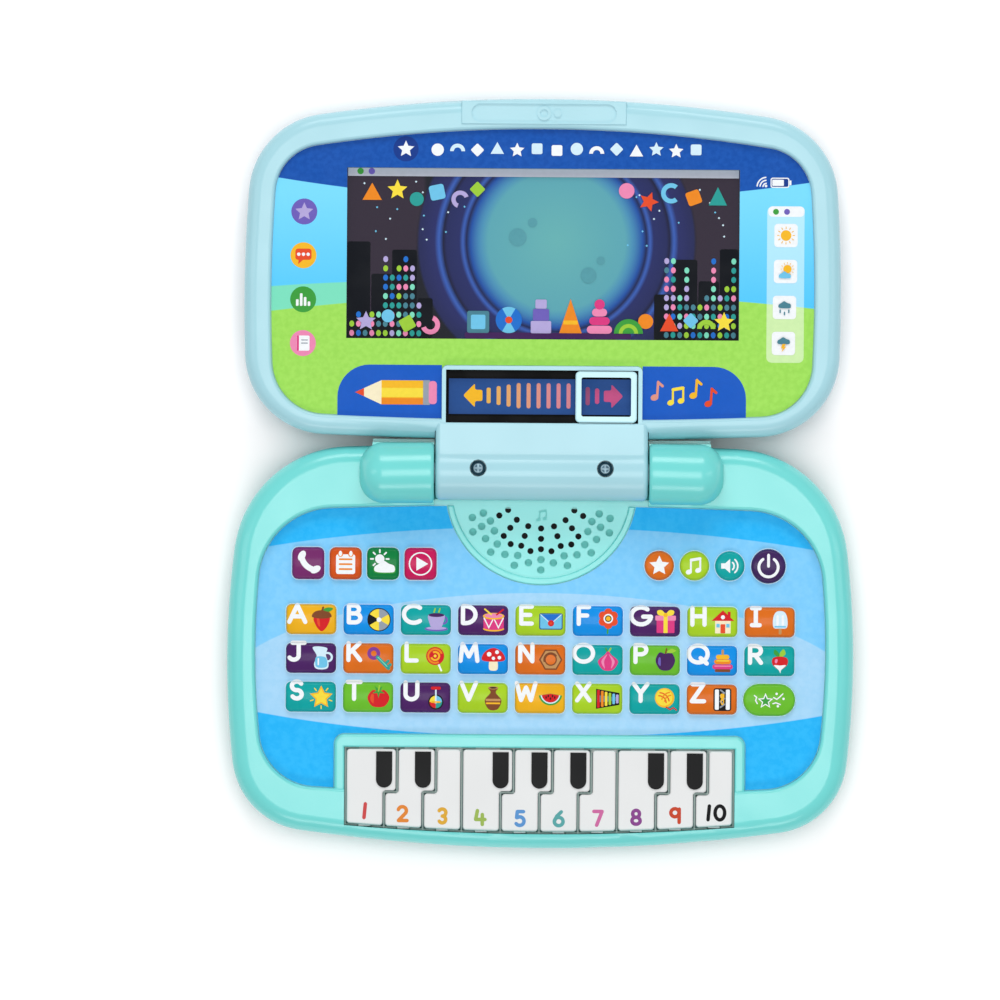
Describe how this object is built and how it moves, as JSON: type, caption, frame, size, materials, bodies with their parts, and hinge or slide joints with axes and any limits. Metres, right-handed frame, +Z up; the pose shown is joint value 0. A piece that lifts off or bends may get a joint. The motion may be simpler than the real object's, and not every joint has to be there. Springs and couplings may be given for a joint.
{
  "type": "toy laptop computer",
  "caption": "Child's toy laptop, opened flat: hinged lid with printed screen and swipe slider, base with letter keys, round and square buttons, speaker grille and piano keys.",
  "frame": {"origin": "on the table, under the middle of the hinge line, with the toy opened flat", "axes": "+X to the right along the hinge, +Y from the base towards the top of the lid, +Z up"},
  "size_m": [0.2336, 0.2794, 0.0388],
  "materials": {
    "base_teal": "satin moulded plastic",
    "film_print": "printed film",
    "board_green": "solder mask",
    "dark_plastic": "dark moulding",
    "bright_steel": "plated steel",
    "lid_blue": "satin moulded plastic",
    "face_print": "printed film",
    "clear_window": "clear moulding",
    "slider_pale": "gloss moulding",
    "key_amber": "gloss",
    "key_blue": "gloss",
    "key_teal": "gloss",
    "key_purple": "gloss",
    "key_lime": "gloss",
    "key_orange": "gloss",
    "key_green": "gloss",
    "key_crimson": "gloss",
    "piano_white": "gloss"
  },
  "bodies": {
    "base": {"base_top_shell": "base_teal", "base_bottom_shell": "base_teal", "keyboard_film": "film_print", "main_board": "board_green", "speaker": "dark_plastic", "battery_door": "base_teal", "battery_contacts": "bright_steel", "base_screws": "bright_steel", "key_deck": "base_teal"},
    "lid": {"lid_front_shell": "lid_blue", "lid_rear_shell": "lid_blue", "lid_faceplate": "face_print", "screen_window": "clear_window", "lid_screws": "bright_steel"},
    "swipe_slider": {"swipe_slider": "slider_pale"},
    "piano_key_1": {"piano_key_1": "piano_white"},
    "piano_key_2": {"piano_key_2": "piano_white"},
    "piano_key_3": {"piano_key_3": "piano_white"},
    "piano_key_4": {"piano_key_4": "piano_white"},
    "piano_key_5": {"piano_key_5": "piano_white"},
    "piano_key_6": {"piano_key_6": "piano_white"},
    "piano_key_7": {"piano_key_7": "piano_white"},
    "piano_key_8": {"piano_key_8": "piano_white"},
    "piano_key_9": {"piano_key_9": "piano_white"},
    "piano_key_10": {"piano_key_10": "piano_white"},
    "button_phone": {"button_phone": "key_purple"},
    "button_calendar": {"button_calendar": "key_orange"},
    "button_weather": {"button_weather": "key_green"},
    "button_play": {"button_play": "key_crimson"},
    "button_round_a": {"button_round_a": "key_orange"},
    "button_round_b": {"button_round_b": "key_lime"},
    "button_round_c": {"button_round_c": "key_teal"},
    "button_power": {"button_power": "key_purple"},
    "key_a": {"key_a": "key_amber"},
    "key_b": {"key_b": "key_blue"},
    "key_c": {"key_c": "key_teal"},
    "key_d": {"key_d": "key_purple"},
    "key_e": {"key_e": "key_lime"},
    "key_f": {"key_f": "key_blue"},
    "key_g": {"key_g": "key_purple"},
    "key_h": {"key_h": "key_lime"},
    "key_i": {"key_i": "key_orange"},
    "key_j": {"key_j": "key_purple"},
    "key_k": {"key_k": "key_orange"},
    "key_l": {"key_l": "key_lime"},
    "key_m": {"key_m": "key_blue"},
    "key_n": {"key_n": "key_orange"},
    "key_o": {"key_o": "key_teal"},
    "key_p": {"key_p": "key_green"},
    "key_q": {"key_q": "key_blue"},
    "key_r": {"key_r": "key_teal"},
    "key_s": {"key_s": "key_teal"},
    "key_t": {"key_t": "key_green"},
    "key_u": {"key_u": "key_purple"},
    "key_v": {"key_v": "key_lime"},
    "key_w": {"key_w": "key_amber"},
    "key_x": {"key_x": "key_lime"},
    "key_y": {"key_y": "key_teal"},
    "key_z": {"key_z": "key_orange"},
    "key_oval": {"key_oval": "key_green"}
  },
  "joints": [
    {"name": "lid_hinge", "type": "hinge", "parent": "base", "child": "lid", "pos_m": [0, 0, 0.0275], "axis": [1, 0, 0], "range_deg": [0, 180]},
    {"name": "lid_swipe_slide", "type": "slide", "parent": "lid", "child": "swipe_slider", "axis": [-1, 0, 0], "range_m": [0, 0.0475]},
    {"name": "press_piano_key_1", "type": "hinge", "parent": "base", "child": "piano_key_1", "pos_m": [0, -0.1004, 0.0213], "axis": [1, 0, 0], "range_deg": [0, 3], "stiffness_Nm_per_rad": 0.05, "springref_deg": -3.44},
    {"name": "press_piano_key_2", "type": "hinge", "parent": "base", "child": "piano_key_2", "pos_m": [0, -0.1004, 0.0213], "axis": [1, 0, 0], "range_deg": [0, 3], "stiffness_Nm_per_rad": 0.05, "springref_deg": -3.44},
    {"name": "press_piano_key_3", "type": "hinge", "parent": "base", "child": "piano_key_3", "pos_m": [0, -0.1004, 0.0213], "axis": [1, 0, 0], "range_deg": [0, 3], "stiffness_Nm_per_rad": 0.05, "springref_deg": -3.44},
    {"name": "press_piano_key_4", "type": "hinge", "parent": "base", "child": "piano_key_4", "pos_m": [0, -0.1004, 0.0213], "axis": [1, 0, 0], "range_deg": [0, 3], "stiffness_Nm_per_rad": 0.05, "springref_deg": -3.44},
    {"name": "press_piano_key_5", "type": "hinge", "parent": "base", "child": "piano_key_5", "pos_m": [0, -0.1004, 0.0213], "axis": [1, 0, 0], "range_deg": [0, 3], "stiffness_Nm_per_rad": 0.05, "springref_deg": -3.44},
    {"name": "press_piano_key_6", "type": "hinge", "parent": "base", "child": "piano_key_6", "pos_m": [0, -0.1004, 0.0213], "axis": [1, 0, 0], "range_deg": [0, 3], "stiffness_Nm_per_rad": 0.05, "springref_deg": -3.44},
    {"name": "press_piano_key_7", "type": "hinge", "parent": "base", "child": "piano_key_7", "pos_m": [0, -0.1004, 0.0213], "axis": [1, 0, 0], "range_deg": [0, 3], "stiffness_Nm_per_rad": 0.05, "springref_deg": -3.44},
    {"name": "press_piano_key_8", "type": "hinge", "parent": "base", "child": "piano_key_8", "pos_m": [0, -0.1004, 0.0213], "axis": [1, 0, 0], "range_deg": [0, 3], "stiffness_Nm_per_rad": 0.05, "springref_deg": -3.44},
    {"name": "press_piano_key_9", "type": "hinge", "parent": "base", "child": "piano_key_9", "pos_m": [0, -0.1004, 0.0213], "axis": [1, 0, 0], "range_deg": [0, 3], "stiffness_Nm_per_rad": 0.05, "springref_deg": -3.44},
    {"name": "press_piano_key_10", "type": "hinge", "parent": "base", "child": "piano_key_10", "pos_m": [0, -0.1004, 0.0213], "axis": [1, 0, 0], "range_deg": [0, 3], "stiffness_Nm_per_rad": 0.05, "springref_deg": -3.44},
    {"name": "press_button_phone", "type": "slide", "parent": "base", "child": "button_phone", "axis": [0, 0, -1], "range_m": [0, 0.0006], "stiffness_N_per_m": 300, "springref_m": -0.0005},
    {"name": "press_button_calendar", "type": "slide", "parent": "base", "child": "button_calendar", "axis": [0, 0, -1], "range_m": [0, 0.0006], "stiffness_N_per_m": 300, "springref_m": -0.0005},
    {"name": "press_button_weather", "type": "slide", "parent": "base", "child": "button_weather", "axis": [0, 0, -1], "range_m": [0, 0.0006], "stiffness_N_per_m": 300, "springref_m": -0.0005},
    {"name": "press_button_play", "type": "slide", "parent": "base", "child": "button_play", "axis": [0, 0, -1], "range_m": [0, 0.0006], "stiffness_N_per_m": 300, "springref_m": -0.0005},
    {"name": "press_button_round_a", "type": "slide", "parent": "base", "child": "button_round_a", "axis": [0, 0, -1], "range_m": [0, 0.0006], "stiffness_N_per_m": 300, "springref_m": -0.0005},
    {"name": "press_button_round_b", "type": "slide", "parent": "base", "child": "button_round_b", "axis": [0, 0, -1], "range_m": [0, 0.0006], "stiffness_N_per_m": 300, "springref_m": -0.0005},
    {"name": "press_button_round_c", "type": "slide", "parent": "base", "child": "button_round_c", "axis": [0, 0, -1], "range_m": [0, 0.0006], "stiffness_N_per_m": 300, "springref_m": -0.0005},
    {"name": "press_button_power", "type": "slide", "parent": "base", "child": "button_power", "axis": [0, 0, -1], "range_m": [0, 0.0006], "stiffness_N_per_m": 300, "springref_m": -0.0005},
    {"name": "press_key_a", "type": "slide", "parent": "base", "child": "key_a", "axis": [0, 0, -1], "range_m": [0, 0.0006], "stiffness_N_per_m": 300, "springref_m": -0.0005},
    {"name": "press_key_b", "type": "slide", "parent": "base", "child": "key_b", "axis": [0, 0, -1], "range_m": [0, 0.0006], "stiffness_N_per_m": 300, "springref_m": -0.0005},
    {"name": "press_key_c", "type": "slide", "parent": "base", "child": "key_c", "axis": [0, 0, -1], "range_m": [0, 0.0006], "stiffness_N_per_m": 300, "springref_m": -0.0005},
    {"name": "press_key_d", "type": "slide", "parent": "base", "child": "key_d", "axis": [0, 0, -1], "range_m": [0, 0.0006], "stiffness_N_per_m": 300, "springref_m": -0.0005},
    {"name": "press_key_e", "type": "slide", "parent": "base", "child": "key_e", "axis": [0, 0, -1], "range_m": [0, 0.0006], "stiffness_N_per_m": 300, "springref_m": -0.0005},
    {"name": "press_key_f", "type": "slide", "parent": "base", "child": "key_f", "axis": [0, 0, -1], "range_m": [0, 0.0006], "stiffness_N_per_m": 300, "springref_m": -0.0005},
    {"name": "press_key_g", "type": "slide", "parent": "base", "child": "key_g", "axis": [0, 0, -1], "range_m": [0, 0.0006], "stiffness_N_per_m": 300, "springref_m": -0.0005},
    {"name": "press_key_h", "type": "slide", "parent": "base", "child": "key_h", "axis": [0, 0, -1], "range_m": [0, 0.0006], "stiffness_N_per_m": 300, "springref_m": -0.0005},
    {"name": "press_key_i", "type": "slide", "parent": "base", "child": "key_i", "axis": [0, 0, -1], "range_m": [0, 0.0006], "stiffness_N_per_m": 300, "springref_m": -0.0005},
    {"name": "press_key_j", "type": "slide", "parent": "base", "child": "key_j", "axis": [0, 0, -1], "range_m": [0, 0.0006], "stiffness_N_per_m": 300, "springref_m": -0.0005},
    {"name": "press_key_k", "type": "slide", "parent": "base", "child": "key_k", "axis": [0, 0, -1], "range_m": [0, 0.0006], "stiffness_N_per_m": 300, "springref_m": -0.0005},
    {"name": "press_key_l", "type": "slide", "parent": "base", "child": "key_l", "axis": [0, 0, -1], "range_m": [0, 0.0006], "stiffness_N_per_m": 300, "springref_m": -0.0005},
    {"name": "press_key_m", "type": "slide", "parent": "base", "child": "key_m", "axis": [0, 0, -1], "range_m": [0, 0.0006], "stiffness_N_per_m": 300, "springref_m": -0.0005},
    {"name": "press_key_n", "type": "slide", "parent": "base", "child": "key_n", "axis": [0, 0, -1], "range_m": [0, 0.0006], "stiffness_N_per_m": 300, "springref_m": -0.0005},
    {"name": "press_key_o", "type": "slide", "parent": "base", "child": "key_o", "axis": [0, 0, -1], "range_m": [0, 0.0006], "stiffness_N_per_m": 300, "springref_m": -0.0005},
    {"name": "press_key_p", "type": "slide", "parent": "base", "child": "key_p", "axis": [0, 0, -1], "range_m": [0, 0.0006], "stiffness_N_per_m": 300, "springref_m": -0.0005},
    {"name": "press_key_q", "type": "slide", "parent": "base", "child": "key_q", "axis": [0, 0, -1], "range_m": [0, 0.0006], "stiffness_N_per_m": 300, "springref_m": -0.0005},
    {"name": "press_key_r", "type": "slide", "parent": "base", "child": "key_r", "axis": [0, 0, -1], "range_m": [0, 0.0006], "stiffness_N_per_m": 300, "springref_m": -0.0005},
    {"name": "press_key_s", "type": "slide", "parent": "base", "child": "key_s", "axis": [0, 0, -1], "range_m": [0, 0.0006], "stiffness_N_per_m": 300, "springref_m": -0.0005},
    {"name": "press_key_t", "type": "slide", "parent": "base", "child": "key_t", "axis": [0, 0, -1], "range_m": [0, 0.0006], "stiffness_N_per_m": 300, "springref_m": -0.0005},
    {"name": "press_key_u", "type": "slide", "parent": "base", "child": "key_u", "axis": [0, 0, -1], "range_m": [0, 0.0006], "stiffness_N_per_m": 300, "springref_m": -0.0005},
    {"name": "press_key_v", "type": "slide", "parent": "base", "child": "key_v", "axis": [0, 0, -1], "range_m": [0, 0.0006], "stiffness_N_per_m": 300, "springref_m": -0.0005},
    {"name": "press_key_w", "type": "slide", "parent": "base", "child": "key_w", "axis": [0, 0, -1], "range_m": [0, 0.0006], "stiffness_N_per_m": 300, "springref_m": -0.0005},
    {"name": "press_key_x", "type": "slide", "parent": "base", "child": "key_x", "axis": [0, 0, -1], "range_m": [0, 0.0006], "stiffness_N_per_m": 300, "springref_m": -0.0005},
    {"name": "press_key_y", "type": "slide", "parent": "base", "child": "key_y", "axis": [0, 0, -1], "range_m": [0, 0.0006], "stiffness_N_per_m": 300, "springref_m": -0.0005},
    {"name": "press_key_z", "type": "slide", "parent": "base", "child": "key_z", "axis": [0, 0, -1], "range_m": [0, 0.0006], "stiffness_N_per_m": 300, "springref_m": -0.0005},
    {"name": "press_key_oval", "type": "slide", "parent": "base", "child": "key_oval", "axis": [0, 0, -1], "range_m": [0, 0.0006], "stiffness_N_per_m": 300, "springref_m": -0.0005}
  ]
}
